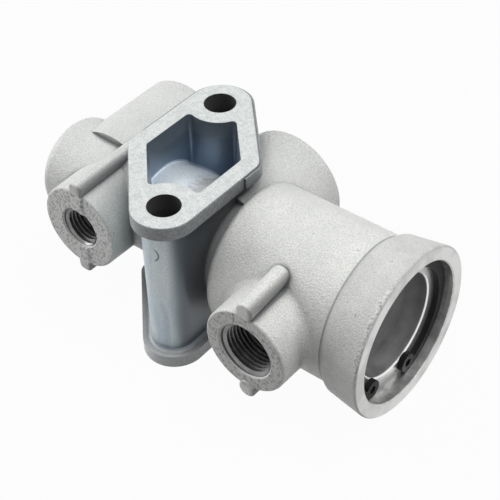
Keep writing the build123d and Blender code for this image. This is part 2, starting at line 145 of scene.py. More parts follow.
class Shader:
    """A material's node tree, with one short call for each kind of node used here."""

    occlusion_samples = 8

    def __init__(self, name: str) -> None:
        """Starts a material with its surface shader and object coordinates.

        Args:
            name: Name of the material.
        """
        self.material = bpy.data.materials.new(name)
        self.material.use_nodes = True
        self.tree = self.material.node_tree
        self.surface = self.tree.nodes["Principled BSDF"]
        self.place = self.tree.nodes.new("ShaderNodeTexCoord").outputs["Object"]
        split = self.tree.nodes.new("ShaderNodeSeparateXYZ")
        self.tree.links.new(self.place, split.inputs[0])
        self.x, self.y, self.z = split.outputs

    def feed(self, socket: Socket, value: object) -> None:
        """Links a socket to a value, or sets it where the value is a constant.

        Args:
            socket: The input to fill.
            value: Another node's output, or a number, vector or colour.
        """
        if isinstance(value, Socket):
            self.tree.links.new(value, socket)
        elif isinstance(value, tuple) and len(value) == 3 and socket.type == "RGBA":
            socket.default_value = (*value, 1.0)
        else:
            socket.default_value = value

    def math(self, operation: str, *values: object) -> Socket:
        """Adds a Math node.

        Args:
            operation: Blender's name of the operation.
            values: One or two inputs.

        Returns:
            The node's output.
        """
        node = self.tree.nodes.new("ShaderNodeMath")
        node.operation = operation
        for socket, value in zip(node.inputs, values):
            self.feed(socket, value)
        return node.outputs[0]

    def span(self, value: object, ramp: Ramp) -> Socket:
        """Maps a value smoothly.

        Args:
            value: The input.
            ramp: The turn that it takes.

        Returns:
            The mapped value.
        """
        node = self.tree.nodes.new("ShaderNodeMapRange")
        node.interpolation_type = "SMOOTHSTEP"
        for socket, number in zip(node.inputs, (value, ramp.low, ramp.high, ramp.first, ramp.last)):
            self.feed(socket, number)
        return node.outputs[0]

    def below(self, value: object, limit: float, blur: float = SHARP) -> Socket:
        """Gives 1 where the value is under the limit and 0 above it.

        Args:
            value: The input.
            limit: Where the result turns.
            blur: Width of the turn.

        Returns:
            The mask.
        """
        return self.span(value, Ramp(limit - blur / 2, limit + blur / 2, 1.0, 0.0))

    def above(self, value: object, limit: float, blur: float = SHARP) -> Socket:
        """Gives 1 where the value is over the limit and 0 below it.

        Args:
            value: The input.
            limit: Where the result turns.
            blur: Width of the turn.

        Returns:
            The mask.
        """
        return self.span(value, Ramp(limit - blur / 2, limit + blur / 2))

    def both(self, *masks: object) -> Socket:
        """Multiplies masks and shares into one.

        Args:
            masks: Two or more of them.

        Returns:
            Their product, which is 1 where they all are.
        """
        return reduce(lambda result, mask: self.math("MULTIPLY", result, mask), masks)

    def either(self, *masks: object) -> Socket:
        """Takes the largest of the masks.

        Args:
            masks: Two or more masks.

        Returns:
            The mask that is 1 where any of them is.
        """
        return reduce(lambda result, mask: self.math("MAXIMUM", result, mask), masks)

    def radius(self, first: object, second: object, first_at: float = 0.0, second_at: float = 0.0) -> Socket:
        """Distance from a line along one of the row's axes.

        Args:
            first: One coordinate across the line.
            second: The other coordinate across it.
            first_at: Where the line lies in the first coordinate.
            second_at: Where it lies in the second.

        Returns:
            The distance.
        """
        a = self.math("SUBTRACT", first, first_at)
        b = self.math("SUBTRACT", second, second_at)
        return self.math("SQRT", self.math("ADD", self.both(a, a), self.both(b, b)))

    def heading(self, angle: float) -> Socket:
        """Distance from the row's Z axis along a level line, the same both ways.

        Args:
            angle: Angle of the line from +X.

        Returns:
            The distance.
        """
        along_x, along_y = self.both(self.x, math.cos(angle)), self.both(self.y, math.sin(angle))
        return self.math("ABSOLUTE", self.math("ADD", along_x, along_y))

    def combine(self, *coordinates: object) -> Socket:
        """Puts coordinates together.

        Args:
            coordinates: The first two or all three of them.

        Returns:
            The vector.
        """
        node = self.tree.nodes.new("ShaderNodeCombineXYZ")
        for socket, value in zip(node.inputs, coordinates):
            self.feed(socket, value)
        return node.outputs[0]

    def noise(self, grain: Grain, place: object = None) -> Socket:
        """Adds a Noise Texture.

        Args:
            grain: The noise.
            place: Coordinates, or None for the object's own.

        Returns:
            The noise, about 0.5 on average.
        """
        node = self.tree.nodes.new("ShaderNodeTexNoise")
        self.feed(node.inputs["Vector"], place or self.place)
        node.inputs["Scale"].default_value = 1.0 / grain.size
        node.inputs["Detail"].default_value = grain.detail
        node.inputs["Roughness"].default_value = grain.roughness
        return node.outputs["Fac"]

    def crease(self, reach: float) -> Socket:
        """Measures how far the piece's own surfaces close a point in.

        Args:
            reach: How far the surfaces are looked for, in metres.

        Returns:
            0 on an open face, about 0.5 in a square corner.
        """
        node = self.tree.nodes.new("ShaderNodeAmbientOcclusion")
        node.samples = self.occlusion_samples
        node.only_local = True
        node.inputs["Distance"].default_value = reach
        return self.math("SUBTRACT", 1.0, node.outputs["AO"])

    def mix(self, factor: object, first: object, second: object, kind: str = "RGBA") -> Socket:
        """Mixes two colours, or two values of another kind.

        Args:
            factor: 0 for the first value, 1 for the second.
            first: A constant or an output.
            second: A constant or an output.
            kind: Blender's name of what is mixed.

        Returns:
            The mixed value.
        """
        node = self.tree.nodes.new("ShaderNodeMix")
        node.data_type = kind
        inputs = (socket for socket in node.inputs if socket.enabled)
        for socket, value in zip(inputs, (factor, first, second)):
            self.feed(socket, value)
        return next(socket for socket in node.outputs if socket.enabled)

    def blend(self, factor: object, first: object, second: object) -> Socket:
        """Mixes two numbers.

        Args:
            factor: 0 for the first number, 1 for the second.
            first: A number or an output.
            second: A number or an output.

        Returns:
            The mixed number.
        """
        return self.mix(factor, first, second, "FLOAT")

    def bump(self, height: object, distance: float, strength: object = 1.0, normal: object = None) -> Socket:
        """Adds a Bump node.

        Args:
            height: Height from 0 to 1.
            distance: Depth in metres that a height of 1 stands for.
            strength: How much of it shows.
            normal: Another bump to add this one to, or None.

        Returns:
            The bumped normal.
        """
        node = self.tree.nodes.new("ShaderNodeBump")
        node.inputs["Distance"].default_value = distance
        self.feed(node.inputs["Strength"], strength)
        self.feed(node.inputs["Height"], height)
        if normal is not None:
            self.feed(node.inputs["Normal"], normal)
        return node.outputs[0]

    def finish(self, colour: object, metallic: object, roughness: object,
               normal: Socket) -> bpy.types.Material:
        """Fills the surface shader and gives the material.

        Args:
            colour: Base colour.
            metallic: How metallic the surface is.
            roughness: Its roughness.
            normal: Its bumped normal.

        Returns:
            The finished material.
        """
        values = {"Base Color": colour, "Metallic": metallic, "Roughness": roughness, "Normal": normal}
        for name, value in values.items():
            self.feed(self.surface.inputs[name], value)
        return self.material


@dataclass
class CastingRegions:
    """Masks of the casting's regions, each 1 inside and 0 outside.

    paleness and sunk are shares, and bore is the distance from the bore axis in metres.
    """

    block: Socket
    column: Socket
    tops: Socket
    edges: Socket
    pocket: Socket
    floor: Socket
    bolt_hole: Socket
    rim: Socket
    worn_edge: Socket
    collar: Socket
    shaded: Socket
    foot: Socket
    shelf: Socket
    barrel: Socket
    flank_shade: Socket
    seam: Socket
    root: Socket
    pin_mark_shadow: Socket
    mouth: Socket
    port_faces: Socket
    port_walls: Socket
    paleness: Socket
    sunk: Socket
    bore: Socket


@dataclass(frozen=True)
class CastingColours:
    """Base colours of the casting."""

    blasted: Colour = (0.66, 0.67, 0.655)
    blasted_light: Colour = (0.74, 0.75, 0.73)
    barrel: Colour = (0.84, 0.845, 0.82)
    glint: Colour = (0.88, 0.88, 0.87)
    # painted shade for the bars' right flanks
    bar_flank_shade: Colour = (0.20, 0.20, 0.20)
    collar: Colour = (0.61, 0.61, 0.605)
    collar_light: Colour = (0.68, 0.68, 0.67)
    sand_dark: Colour = (0.47, 0.48, 0.47)
    pits: Colour = (0.32, 0.33, 0.33)
    block: Colour = (0.62, 0.69, 0.71)
    block_streak: Colour = (0.47, 0.56, 0.63)
    block_shaded: Colour = (0.13, 0.15, 0.17)
    flange_edge: Colour = (0.34, 0.36, 0.37)
    flange_edge_dark: Colour = (0.24, 0.25, 0.26)
    foot: Colour = (0.62, 0.63, 0.64)
    shelf: Colour = (0.42, 0.50, 0.58)
    flange_top: Colour = (0.74, 0.77, 0.76)
    flange_top_dull: Colour = (0.61, 0.65, 0.65)
    # the pockets' walls: painted shade over the block's bluish tone, lighter and bluer deeper in
    pocket: Colour = (0.13, 0.16, 0.19)
    pocket_low: Colour = (0.16, 0.22, 0.30)
    pocket_floor: Colour = (0.76, 0.83, 0.88)
    pocket_floor_dark: Colour = (0.44, 0.45, 0.46)
    # painted highlight along the fillet between a pocket's floor and wall
    pocket_seam_highlight: Colour = (0.60, 0.66, 0.74)
    machined: Colour = (0.72, 0.72, 0.71)
    machined_dull: Colour = (0.52, 0.52, 0.51)
    worn: Colour = (0.30, 0.30, 0.30)
    bore: Colour = (0.74, 0.74, 0.73)
    bore_dull: Colour = (0.48, 0.48, 0.48)
    port_face: Colour = (0.77, 0.77, 0.76)
    port_face_dark: Colour = (0.50, 0.50, 0.49)
    port_face_pits: Colour = (0.22, 0.22, 0.22)
    port_wall: Colour = (0.10, 0.10, 0.10)
    # painted shade inside the bolt holes
    bolt_hole_shade: Colour = (0.10, 0.10, 0.10)
    # painted shade for creases, hollows and the collar's root, bluish on the lower flange's shelf
    painted_crease_shade: Colour = (0.14, 0.145, 0.15)
    shelf_painted_shade: Colour = (0.22, 0.28, 0.34)


@dataclass(frozen=True)
class CastingTextures:
    """The casting's noises, the shares that they give its colours, and its gloss and relief."""

    grain: Grain = Grain(0.75 * MM, 2.0, 0.65)
    marks: Grain = Grain(1.1 * MM, 3.0, 0.7)
    blotches: Grain = Grain(9 * MM)
    specks: Grain = Grain(1.6 * MM, 2.0)
    fine: Grain = Grain(0.34 * MM, 1.0)
    sand: Grain = Grain(0.38 * MM, 1.0)
    streaks: Grain = Grain(5 * MM, 3.0, 0.55)
    chips: Grain = Grain(0.7 * MM, 2.0, 0.6)
    scuffs: Grain = Grain(3 * MM, 4.0, 0.6)
    turning: Grain = Grain(0.12 * MM, 1.0)
    light: Ramp = Ramp(0.35, 0.65, 0.1, 0.7)
    collar_light: Ramp = Ramp(0.40, 0.60)
    sandy: Ramp = Ramp(0.30, 0.60, 0.60, 0.0)
    pitted: Ramp = Ramp(0.22, 0.29, 0.9, 0.0)
    glinting: Ramp = Ramp(0.58, 0.72, 0.0, 0.6)
    streaky: Ramp = Ramp(0.42, 0.66)
    block_sandy: Ramp = Ramp(0.30, 0.55, 0.25, 0.0)
    mottled: Ramp = Ramp(0.35, 0.65)
    foot_sandy: Ramp = Ramp(0.30, 0.60, 0.45, 0.0)
    top_light: Ramp = Ramp(0.35, 0.62)
    top_sandy: Ramp = Ramp(0.32, 0.60, 0.55, 0.0)
    top_glinting: Ramp = Ramp(0.58, 0.72, 0.0, 0.7)
    floor_darkening: Ramp = Ramp(1 * MM, 8 * MM)
    floor_raggedness: float = 9 * MM
    floor_pitted: Ramp = Ramp(0.3, 0.5, 0.4, 0.0)
    face_pitted: Ramp = Ramp(0.38, 0.50, 0.85, 0.0)
    face_glinting: Ramp = Ramp(0.56, 0.68, 0.0, 0.6)
    chipped: Ramp = Ramp(0.34, 0.47, 1.0, 0.0)
    burnished: Ramp = Ramp(0.54, 0.64, 0.0, 0.6)
    scuffed: Ramp = Ramp(0.30, 0.70)
    # painted shade: how far occlusion is looked for, and how dark it makes creases and hollows
    crease_reach: float = 2.8 * MM
    crease_shading: Ramp = Ramp(0.05, 0.38, 0.0, 0.9)
    hollow_reach: float = 9 * MM
    hollow_shading: Ramp = Ramp(0.12, 0.60, 0.0, 0.70)
    root_shade_share: float = 0.65
    flank_shade_share: float = 0.75
    seam_highlight_share: float = 0.7
    draw_scale: float = 0.18
    blasted_roughness: float = 0.50
    block_roughness: float = 0.36
    machined_roughness: float = 0.30
    blasted_metallic: float = 0.04
    column_metallic: float = 0.35
    machined_metallic: float = 0.80
    grain_depth: float = 0.20 * MM
    sand_depth: float = 0.15 * MM
    marks_depth: float = 0.35 * MM
    turning_depth: float = 0.02 * MM
    block_relief: float = 0.30


@dataclass(frozen=True)
class CastingPlaces:
    """Where the casting's regions end: metres from an axis, plane or face, one angle and one slope."""

    skin: float = 0.12 * MM
    bolt_angle: float = math.radians(-68.5)
    block_blur: float = 0.4 * MM
    column_reach: float = 16.9 * MM
    column_shade: Ramp = Ramp(13.1 * MM, 16.1 * MM)
    flange_reach: float = 19.9 * MM
    flange_length: float = 35.9 * MM
    flange_depth: float = 5.4 * MM
    shelf_margin: float = 0.15 * MM
    shelf_skin: float = 0.5 * MM
    pocket_reach: float = 14 * MM
    pocket_length: float = 18 * MM
    pocket_sunk: float = 14 * MM
    pocket_lit: float = 2 * MM
    bolt_boss_radius: float = 9.8 * MM
    bolt_hole_radius: float = 5.2 * MM
    tube_waist_x: float = -14 * MM
    tube_waist_radius: float = 15 * MM
    tube_slope: float = 0.063
    floor: Ramp = Ramp(0.2 * MM, 0.5 * MM, 1.0, 0.0)
    seam_start: Ramp = Ramp(0.1 * MM, 0.4 * MM)
    seam_end: Ramp = Ramp(0.6 * MM, 1.1 * MM, 1.0, 0.0)
    seam_side: Ramp = Ramp(-1 * MM, 3 * MM, 0.35, 1.0)
    barrel: Ramp = Ramp(17 * MM, 31 * MM)
    collar_length: float = 14.3 * MM
    # where the painted shade line along the collar's root lies
    root_back: float = 0.45 * MM
    root_front: float = 0.15 * MM
    root_blur: float = 0.3 * MM
    mouth_radius: float = 22.8 * MM
    mouth_depth: float = 13 * MM
    mouth_margin: float = 0.7 * MM
    rim_margin: float = 0.6 * MM
    worn_back: float = 1.8 * MM
    worn_back_blur: float = 1.2 * MM
    worn_front: float = 0.3 * MM
    worn_radius: float = 25 * MM
    worn_side: Ramp = Ramp(-12 * MM, -6 * MM, 1.0, 0.0)
    worn_rise: Ramp = Ramp(-2 * MM, 8 * MM)
    # across each bar, where its painted shade starts and where it is full
    shaded_flank: Ramp = Ramp(0.9 * MM, 3 * MM)
    bar_half: float = 3.4 * MM
    bar_half_blur: float = 0.5 * MM
    bar_end: float = -15.8 * MM
    bar_end_blur: float = 1.5 * MM
    bar_rise: float = 13 * MM
    bar_radius: float = 14.5 * MM
    bar_blur: float = 1 * MM
    mark_x: float = 9.4 * MM
    mark_rise: float = 14.8 * MM
    mark_radius: float = 2.6 * MM
    mark_width: float = 0.45 * MM
    mark_blur: float = 0.5 * MM
    mark_front: float = -20 * MM
    mark_side: float = 1.2 * MM
    mark_side_blur: float = 1.4 * MM
    face_margin: float = 0.5 * MM
    face_margin_blur: float = 0.4 * MM
    face_hole: float = 0.6 * MM
    face_back: float = 0.45 * MM
    face_back_blur: float = 0.3 * MM
    face_front: float = 1.35 * MM
    face_front_blur: float = 0.2 * MM
    tapped_margin: float = 0.25 * MM
    passage_length: float = 9 * MM


TINT, LOOK, AT = CastingColours(), CastingTextures(), CastingPlaces()


class CastingShader(Shader):
    """Blasted die-cast aluminium, with its smoother block, dark pockets and machined faces."""

    def __init__(self, name: str) -> None:
        """Starts from the bare skin, with the regions placed by the frame.

        Args:
            name: Name of the material.
        """
        super().__init__(name)
        self.parts = self.regions()
        self.grain = self.noise(LOOK.grain)
        self.marks = self.noise(LOOK.marks)
        self.blotches = self.noise(LOOK.blotches)
        self.specks = self.noise(LOOK.specks)
        self.fine = self.noise(LOOK.fine)
        self.colour = self.mix(self.parts.barrel, TINT.blasted, TINT.barrel)

    def complete(self) -> bpy.types.Material:
        """Lays all colours on, then sets the gloss and the relief.

        Returns:
            The material of the casting.
        """
        for step in (self.lay_skin, self.lay_block, self.lay_pocket, self.lay_marks, self.lay_painted_shade,
                     self.lay_machined):
            step()
        parts = self.parts
        metal = self.either(parts.rim, parts.mouth)
        roughness = self.blend(parts.block, LOOK.blasted_roughness, LOOK.block_roughness)
        roughness = self.blend(metal, roughness, LOOK.machined_roughness)
        metallic = self.blend(parts.column, LOOK.blasted_metallic, LOOK.column_metallic)
        metallic = self.blend(self.either(metal, parts.port_walls), metallic, LOOK.machined_metallic)
        return self.finish(self.colour, metallic, roughness, self.relief())

    def lay(self, mask: object, colour: object) -> None:
        """Lays one colour over what is there.

        Args:
            mask: Where it goes, or its share.
            colour: The colour.
        """
        self.colour = self.mix(mask, self.colour, colour)

    def lay_skin(self) -> None:
        """Lays on the blasted skin and the collar, then painted shade along the collar's root and on the
        bars' right flanks.
        """
        parts = self.parts
        self.lay(self.span(self.blotches, LOOK.light), TINT.blasted_light)
        collar = self.mix(self.span(self.blotches, LOOK.collar_light), TINT.collar, TINT.collar_light)
        self.lay(parts.collar, collar)
        self.lay(self.span(self.fine, LOOK.sandy), TINT.sand_dark)
        self.lay(self.span(self.specks, LOOK.pitted), TINT.pits)
        self.lay(self.span(self.fine, LOOK.glinting), TINT.glint)
        # painted shade: a dark line in the concave crease at the collar's root
        self.lay(self.both(parts.root, LOOK.root_shade_share), TINT.painted_crease_shade)
        # painted shade on the bars' right flanks
        self.lay(self.both(parts.flank_shade, LOOK.flank_shade_share), TINT.bar_flank_shade)

    def lay_block(self) -> None:
        """Lays on the mounting block: its column, then its flanges' edges, shelf and faces."""
        parts = self.parts
        drawn = self.combine(self.x, self.y, self.both(self.z, LOOK.draw_scale))
        streaks = self.span(self.noise(LOOK.streaks, drawn), LOOK.streaky)
        plain = self.mix(streaks, TINT.block, TINT.block_streak)
        plain = self.mix(parts.shaded, plain, TINT.block_shaded)
        self.lay(parts.block, self.mix(self.span(self.fine, LOOK.block_sandy), plain, TINT.block_shaded))
        sides = self.mix(self.span(self.grain, LOOK.mottled), TINT.flange_edge_dark, TINT.flange_edge)
        foot = self.mix(self.span(self.fine, LOOK.foot_sandy), TINT.foot, TINT.flange_edge_dark)
        self.lay(parts.edges, self.mix(parts.foot, sides, foot))
        self.lay(parts.shelf, TINT.shelf)
        top = self.mix(self.span(self.specks, LOOK.top_light), TINT.flange_top_dull, TINT.flange_top)
        top = self.mix(self.span(self.fine, LOOK.top_sandy), top, TINT.sand_dark)
        self.lay(parts.tops, self.mix(self.span(self.fine, LOOK.top_glinting), top, TINT.glint))

    def lay_pocket(self) -> None:
        """Lays on the pockets' walls, in the block's bluish tone darkened by painted shade and lighter and
        bluer deeper in, their floors, and a pale painted highlight along the seam between them.
        """
        parts = self.parts
        # painted shade: the walls are far darker than the block, lighter and bluer deeper in
        self.lay(parts.pocket, self.mix(parts.sunk, TINT.pocket_low, TINT.pocket))
        ragged = self.math("ADD", self.x, self.both(self.specks, LOOK.floor_raggedness))
        # the floor turns darker past a ragged line towards +X
        floor = self.mix(self.span(ragged, LOOK.floor_darkening), TINT.pocket_floor, TINT.pocket_floor_dark)
        self.lay(parts.floor, self.mix(self.span(self.fine, LOOK.floor_pitted), floor, TINT.pits))
        # painted highlight: a pale line along the fillet between floor and wall
        self.lay(self.both(parts.seam, LOOK.seam_highlight_share), TINT.pocket_seam_highlight)

    def lay_marks(self) -> None:
        """Lays on the rough port faces, the collar's chipped edge and a crescent of painted shadow beside the
        ejector pin's mark.
        """
        parts = self.parts
        face = self.mix(parts.paleness, TINT.port_face_dark, TINT.port_face)
        face = self.mix(self.span(self.marks, LOOK.face_pitted), face, TINT.port_face_pits)
        face = self.mix(self.span(self.fine, LOOK.face_glinting), face, TINT.blasted_light)
        self.lay(parts.port_faces, face)
        chips = self.noise(LOOK.chips)
        self.lay(self.both(parts.worn_edge, self.span(chips, LOOK.chipped)), TINT.worn)
        self.lay(self.both(parts.worn_edge, self.span(chips, LOOK.burnished)), TINT.glint)
        # painted shadow: a dark crescent beside the ejector pin's mark
        self.lay(self.both(parts.block, parts.pin_mark_shadow), TINT.block_shaded)

    def lay_painted_shade(self) -> None:
        """Lays painted shade, found by ambient occlusion, on creases and hollows, outside the pockets and the
        port faces.
        """
        parts = self.parts
        narrow = self.span(self.crease(LOOK.crease_reach), LOOK.crease_shading)
        wide = self.span(self.crease(LOOK.hollow_reach), LOOK.hollow_shading)
        outside = self.math("SUBTRACT", 1.0, self.either(parts.pocket, parts.port_faces))
        # painted shade darkens the closed-in places
        self.lay(self.both(self.either(narrow, wide), outside),
                 self.mix(parts.shelf, TINT.painted_crease_shade, TINT.shelf_painted_shade))

    def lay_machined(self) -> None:
        """Lays on the machined rim and bore, the tapped walls and painted shade inside the bolt holes."""
        parts = self.parts
        rim = self.mix(self.span(self.blotches, LOOK.mottled), TINT.machined_dull, TINT.machined)
        self.lay(parts.rim, rim)
        scuffs = self.noise(LOOK.scuffs)
        self.lay(parts.mouth, self.mix(self.span(scuffs, LOOK.scuffed), TINT.bore_dull, TINT.bore))
        self.lay(parts.port_walls, TINT.port_wall)
        # painted shade inside the bolt holes
        self.lay(parts.bolt_hole, TINT.bolt_hole_shade)

    def regions(self) -> CastingRegions:
        """Finds the regions from the place of a point in the row frame.

        Returns:
            The masks.
        """
        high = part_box("body")[1]
        bore_z = high.z / 2
        rise = self.math("SUBTRACT", self.z, bore_z)
        from_middle = self.math("ABSOLUTE", rise)
        bore = self.radius(self.y, rise)
        diamond, along, from_bolt = self.block_places()
        inside = self.below(from_middle, bore_z - AT.skin)
        shelf_rise = bore_z - AT.flange_depth - AT.shelf_margin
        column = self.both(self.below(diamond, AT.column_reach, AT.block_blur),
                           self.below(from_middle, shelf_rise))
        flange = self.both(self.below(diamond, AT.flange_reach, AT.block_blur),
                           self.below(along, AT.flange_length), self.above(from_middle, shelf_rise))
        foot = self.both(flange, self.below(rise, 0.0))
        pocket = self.both(self.below(diamond, AT.pocket_reach), inside,
                           self.below(along, AT.pocket_length), self.above(from_bolt, AT.bolt_boss_radius))
        tube = self.math("ADD", self.both(self.x, AT.tube_slope),
                         AT.tube_waist_radius - AT.tube_waist_x * AT.tube_slope)
        over_tube = self.math("SUBTRACT", bore, tube)
        root_x = high.x - AT.collar_length
        faces, walls, paleness = self.ports(rise)
        return CastingRegions(
            block=self.either(column, flange),
            column=column,
            tops=self.both(flange, self.above(from_middle, bore_z - AT.skin)),
            edges=self.both(flange, inside),
            pocket=pocket,
            floor=self.both(pocket, self.span(over_tube, AT.floor)),
            bolt_hole=self.both(self.below(from_bolt, AT.bolt_hole_radius), inside),
            rim=self.both(self.above(self.x, high.x - AT.skin),
                          self.above(bore, AT.mouth_radius - AT.rim_margin)),
            worn_edge=self.both(self.above(self.x, high.x - AT.worn_back, AT.worn_back_blur),
                                self.below(self.x, high.x - AT.worn_front),
                                self.above(bore, AT.worn_radius), self.span(self.y, AT.worn_side),
                                self.span(rise, AT.worn_rise)),
            collar=self.both(self.above(self.x, root_x), self.above(bore, AT.mouth_radius)),
            shaded=self.both(column, self.span(self.x, AT.column_shade)),
            foot=foot,
            shelf=self.both(foot, self.above(self.z, AT.flange_depth - AT.shelf_skin, AT.shelf_skin)),
            barrel=self.span(self.x, AT.barrel),
            flank_shade=self.flank_shade(from_middle, bore),
            seam=self.both(pocket, self.span(over_tube, AT.seam_start),
                           self.span(over_tube, AT.seam_end), self.span(self.y, AT.seam_side)),
            root=self.both(self.above(self.x, root_x - AT.root_back, AT.root_blur),
                           self.below(self.x, root_x + AT.root_front, AT.root_blur)),
            pin_mark_shadow=self.pin_mark_shadow(rise),
            mouth=self.both(self.below(bore, AT.mouth_radius + AT.mouth_margin),
                            self.above(self.x, high.x - AT.mouth_depth),
                            self.below(self.x, high.x - AT.skin)),
            port_faces=faces,
            port_walls=walls,
            paleness=paleness,
            sunk=self.span(from_middle, Ramp(bore_z - AT.pocket_sunk, bore_z - AT.pocket_lit)),
            bore=bore,
        )

    def pin_mark_shadow(self, rise: Socket) -> Socket:
        """Mask of a crescent of painted shadow beside an ejector pin's mark on the front of the column.

        Args:
            rise: Height above the bore axis.

        Returns:
            The mask.
        """
        mark = self.radius(self.x, rise, AT.mark_x, AT.mark_rise)
        return self.both(self.below(mark, AT.mark_radius),
                         self.above(mark, AT.mark_radius - AT.mark_width, AT.mark_blur),
                         self.below(self.y, AT.mark_front),
                         self.above(self.x, AT.mark_x + AT.mark_side, AT.mark_side_blur))

    def flank_shade(self, from_middle: Socket, bore: Socket) -> Socket:
        """Mask of painted shade on the right flanks of the bars over and under the front ports.

        Args:
            from_middle: Distance above or below the bore axis.
            bore: Distance from the bore axis.

        Returns:
            The mask.
        """
        masks = []
        for port, end in ((Port.SUPPLY_IN, 0.0), (Port.SUPPLY_OUT, AT.bar_end)):
            across = self.math("SUBTRACT", self.x, port.mount["pos_m"][0])
            masks.append(self.both(self.span(across, AT.shaded_flank),
                                   self.below(across, AT.bar_half, AT.bar_half_blur),
                                   self.below(self.y, end, AT.bar_end_blur)))
        return self.both(self.either(*masks), self.above(from_middle, AT.bar_rise, AT.bar_blur),
                         self.above(bore, AT.bar_radius, AT.bar_blur))

    def relief(self) -> Socket:
        """Raises the blasted grain, the cast marks and the lathe's rings.

        Returns:
            The bumped normal.
        """
        parts = self.parts
        machined = self.either(parts.rim, parts.mouth, parts.port_walls)
        depth = self.blend(machined, self.blend(parts.block, 1.0, LOOK.block_relief), 0.0)
        normal = self.bump(self.grain, LOOK.grain_depth, depth)
        normal = self.bump(self.noise(LOOK.sand), LOOK.sand_depth, depth, normal)
        normal = self.bump(self.marks, LOOK.marks_depth, parts.port_faces, normal)
        turned = self.noise(LOOK.turning, self.combine(self.x, parts.bore))
        return self.bump(turned, LOOK.turning_depth, machined, normal)

    def block_places(self) -> tuple[Socket, Socket, Socket]:
        """Measures a point against the mounting block's diamond outline.

        Returns:
            The distance of the diamond through the point, the distance along the bolt line, and
            the distance from the nearer bolt axis.
        """
        angle = AT.bolt_angle
        diamond = self.math("MAXIMUM", self.math("ABSOLUTE", self.x), self.heading(2 * angle + math.pi))
        reach = find_mount("flange_bolts")["dims"]["pcd_mm"] / 2 * MM
        bolt_x, bolt_y = reach * math.cos(angle), reach * math.sin(angle)
        front_bolt = self.radius(self.x, self.y, bolt_x, bolt_y)
        rear_bolt = self.radius(self.x, self.y, -bolt_x, -bolt_y)
        return diamond, self.heading(angle), self.math("MINIMUM", front_bolt, rear_bolt)

    def ports(self, rise: Socket) -> tuple[Socket, Socket, Socket]:
        """Masks of the cast faces round the ports and of the tapped walls.

        Args:
            rise: Height above the bore axis.

        Returns:
            The mask of the faces, that of the walls, and how pale the face is.
        """
        faces, walls, pales = [], [], []
        for port in Port:
            half = port.length / 2
            middle = abs(port.mount["pos_m"][1])
            from_axis = self.radius(self.x, rise, port.mount["pos_m"][0])
            side = self.both(self.y, port.mount["axis"][1])
            face = self.both(self.below(from_axis, port.boss_radius - AT.face_margin, AT.face_margin_blur),
                             self.above(from_axis, port.radius + AT.face_hole),
                             self.above(side, middle + half + AT.face_back, AT.face_back_blur),
                             self.below(side, middle + half + AT.face_front, AT.face_front_blur))
            faces.append(face)
            pales.append(self.both(face, port.paleness))
            walls.append(self.both(self.below(from_axis, port.radius + AT.tapped_margin),
                                   self.above(side, middle - half - AT.passage_length)))
        return self.either(*faces), self.either(*walls), self.either(*pales)


@dataclass(frozen=True)
class MetalFinish:
    """A plain metal surface with fine grain, such as a turned, plated or phosphated part."""

    colour: Colour
    tint: Colour
    metallic: float
    roughness: float
    grain: Grain = Grain(0.4 * MM, 3.0, 0.6)
    depth: float = 0.02 * MM
    gloss: float = 0.5
    clouds: Grain = Grain(4 * MM)
    tinted: Ramp = Ramp(0.35, 0.65)
    unevenness: Ramp = Ramp(0.3, 0.7, 0.85, 1.2)

    def material(self, name: str) -> bpy.types.Material:
        """Makes the material.

        Args:
            name: Name of the material.

        Returns:
            The material.
        """
        shade = Shader(name)
        grain = shade.noise(self.grain)
        colour = shade.mix(shade.span(shade.noise(self.clouds), self.tinted), self.colour, self.tint)
        roughness = shade.both(shade.span(grain, self.unevenness), self.roughness)
        shade.feed(shade.surface.inputs["Specular IOR Level"], self.gloss)
        return shade.finish(colour, self.metallic, roughness, shade.bump(grain, self.depth))


@dataclass(frozen=True)
class CapFinish:
    """The end cap: a dark dish inside a paler turned border, with a thin painted highlight round the dish's
    edge.
    """

    dish: Colour = (0.16, 0.16, 0.16)
    dish_pale: Colour = (0.22, 0.22, 0.22)
    border: Colour = (0.58, 0.58, 0.57)
    edge_highlight: Colour = (0.95, 0.95, 0.95)
    dish_radius: float = 16.2 * MM
    edge_highlight_width: float = 0.45 * MM
    clouds: Grain = Grain(5 * MM)
    cloudy: Ramp = Ramp(0.3, 0.7)
    grain: Grain = Grain(0.35 * MM, 3.0, 0.6)
    depth: float = 0.02 * MM
    dish_roughness: float = 0.62
    border_roughness: float = 0.32
    dish_metallic: float = 0.15
    border_metallic: float = 0.85

    def material(self, name: str) -> bpy.types.Material:
        """Makes the material.

        Args:
            name: Name of the material.

        Returns:
            The material.
        """
        shade = Shader(name)
        low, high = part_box("end_cap")
        bore = shade.radius(shade.y, shade.math("SUBTRACT", shade.z, (low.z + high.z) / 2))
        border = shade.above(bore, self.dish_radius)
        # painted highlight: a thin near-white ring at the dish's edge
        edge_highlight = shade.both(border, shade.below(bore, self.dish_radius + self.edge_highlight_width))
        dish = shade.mix(shade.span(shade.noise(self.clouds), self.cloudy), self.dish, self.dish_pale)
        colour = shade.mix(edge_highlight, shade.mix(border, dish, self.border), self.edge_highlight)
        roughness = shade.blend(border, self.dish_roughness, self.border_roughness)
        metallic = shade.blend(border, self.dish_metallic, self.border_metallic)
        return shade.finish(colour, metallic, roughness, shade.bump(shade.noise(self.grain), self.depth))


